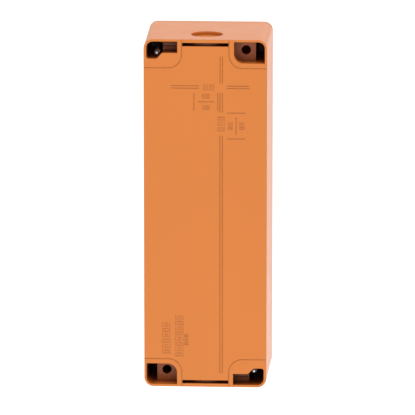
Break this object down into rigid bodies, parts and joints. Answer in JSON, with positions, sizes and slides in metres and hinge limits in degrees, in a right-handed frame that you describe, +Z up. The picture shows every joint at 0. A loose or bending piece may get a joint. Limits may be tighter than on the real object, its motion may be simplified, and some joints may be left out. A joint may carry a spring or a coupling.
{
  "type": "ticket validator",
  "caption": "Wall-mounted ticket validator: moulded case with bottom-hinged locked cover, ticket slot with shutter, stamping mechanism, display and contactless reader.",
  "frame": {"origin": "centre of the flat wall face at the back of the case", "axes": "+Z up, +Y out of the wall face towards the wall, the cover faces -Y, +X to the right as seen from the front"},
  "size_m": [0.0788, 0.0725, 0.224],
  "materials": {
    "case_plastic": "satin moulded thermoplastic",
    "plated_steel": "zinc plated",
    "dark_steel": "blackened",
    "brass": "turned",
    "circuit_board": "solder mask",
    "component_black": "matt moulding",
    "terminal_green": "matt moulding",
    "guide_black": "fine texture",
    "rubber": "matt",
    "gear_grey": "self-lubricating plastic",
    "coil_copper": "enamelled winding under tape",
    "wheel_ivory": "matt",
    "ink_fabric": "inked woven ribbon",
    "smoked_window": "smoked, polished",
    "display_glass": "liquid crystal panel",
    "reader_grey": "fine texture",
    "lens_green": "clear tinted",
    "lens_red": "clear tinted",
    "button_grey": "satin"
  },
  "bodies": {
    "housing": {"rear_housing": "case_plastic", "top_strike_plate": "plated_steel", "earth_plate": "plated_steel", "tower_screws": "plated_steel", "hinge_pins": "plated_steel", "main_board": "circuit_board", "board_screws": "plated_steel", "board_components": "component_black", "terminal_block": "terminal_green", "buzzer": "component_black", "backup_cell": "plated_steel", "mechanism_chassis": "plated_steel", "chassis_screws": "dark_steel", "tie_rods": "plated_steel", "shaft_bushes": "brass", "lower_ticket_guide": "guide_black", "upper_ticket_guide": "guide_black", "feed_motor": "dark_steel", "solenoid_frame": "plated_steel", "solenoid_coil": "coil_copper", "hammer_spring": "plated_steel", "wheel_carriage": "plated_steel", "ribbon_bracket": "plated_steel", "ink_ribbon": "ink_fabric", "ticket_sensor": "component_black"},
    "cover": {"front_cover": "case_plastic", "cover_gasket": "rubber", "display_window": "smoked_window", "display_module": "display_glass", "display_board": "circuit_board", "display_screws": "plated_steel", "reader_panel": "reader_grey", "antenna_board": "circuit_board", "accept_lens": "lens_green", "refuse_lens": "lens_red", "switch_board": "circuit_board", "tact_switches": "component_black", "slot_bezel": "guide_black", "lock_body": "plated_steel", "lock_nut": "brass"},
    "lock": {"lock_plug": "dark_steel", "lock_cam": "dark_steel"},
    "left_button": {"button_left": "button_grey"},
    "centre_button": {"button_centre": "button_grey"},
    "right_button": {"button_right": "button_grey"},
    "shutter": {"slot_shutter": "plated_steel"},
    "feed": {"feed_shaft": "plated_steel", "feed_rollers": "rubber", "feed_gear": "gear_grey"},
    "motor_rotor": {"motor_shaft": "plated_steel", "motor_pinion": "brass"},
    "pinch": {"pinch_shaft": "plated_steel", "pinch_rollers": "rubber"},
    "hammer": {"print_hammer": "dark_steel", "hammer_plunger": "plated_steel", "hammer_clip": "dark_steel"},
    "wheels": {"date_wheel_shaft": "plated_steel", "date_wheels": "wheel_ivory"},
    "supply": {"supply_spool": "guide_black"},
    "takeup": {"takeup_spool": "guide_black"}
  },
  "joints": [
    {"name": "cover_hinge", "type": "hinge", "parent": "housing", "child": "cover", "pos_m": [0, -0.06765, -0.10965], "axis": [1, 0, 0], "range_deg": [0, 100]},
    {"name": "lock_turn", "type": "hinge", "parent": "cover", "child": "lock", "pos_m": [0, -0.07, 0.094], "axis": [0, -1, 0], "range_deg": [0, 90]},
    {"name": "left_button_press", "type": "slide", "parent": "cover", "child": "left_button", "axis": [0, 1, 0], "range_m": [0, 0.0012], "stiffness_N_per_m": 400},
    {"name": "centre_button_press", "type": "slide", "parent": "cover", "child": "centre_button", "axis": [0, 1, 0], "range_m": [0, 0.0012], "stiffness_N_per_m": 400},
    {"name": "right_button_press", "type": "slide", "parent": "cover", "child": "right_button", "axis": [0, 1, 0], "range_m": [0, 0.0012], "stiffness_N_per_m": 400},
    {"name": "shutter_swing", "type": "hinge", "parent": "cover", "child": "shutter", "pos_m": [0, -0.0646, -0.0418], "axis": [1, 0, 0], "range_deg": [0, 75], "stiffness_Nm_per_rad": 0.002, "springref_deg": -22.92},
    {"name": "feed_roller_spin", "type": "hinge", "parent": "housing", "child": "feed", "pos_m": [0, -0.046, -0.05165], "axis": [1, 0, 0], "continuous": true},
    {"name": "motor_pinion_spin", "type": "hinge", "parent": "housing", "child": "motor_rotor", "pos_m": [0, -0.04134, -0.06904], "axis": [1, 0, 0], "continuous": true},
    {"name": "pinch_roller_spin", "type": "hinge", "parent": "housing", "child": "pinch", "pos_m": [0, -0.046, -0.04035], "axis": [1, 0, 0], "continuous": true},
    {"name": "hammer_strike", "type": "slide", "parent": "housing", "child": "hammer", "axis": [0, 0, 1], "range_m": [0, 0.0044], "stiffness_N_per_m": 150, "springref_m": -0.004, "deforming": ["hammer_spring"]},
    {"name": "date_wheels_turn", "type": "hinge", "parent": "housing", "child": "wheels", "pos_m": [0, -0.024, -0.0366], "axis": [1, 0, 0], "continuous": true},
    {"name": "supply_spool_spin", "type": "hinge", "parent": "housing", "child": "supply", "pos_m": [-0.021, -0.024, -0.0245], "axis": [0, 1, 0], "continuous": true},
    {"name": "takeup_spool_spin", "type": "hinge", "parent": "housing", "child": "takeup", "pos_m": [0.021, -0.024, -0.0245], "axis": [0, 1, 0], "continuous": true}
  ],
  "couplings": [
    {"joint": "motor_pinion_spin", "follows": "feed_roller_spin", "ratio": -2},
    {"joint": "pinch_roller_spin", "follows": "feed_roller_spin", "ratio": -1.4444},
    {"joint": "takeup_spool_spin", "follows": "supply_spool_spin", "ratio": 1}
  ]
}
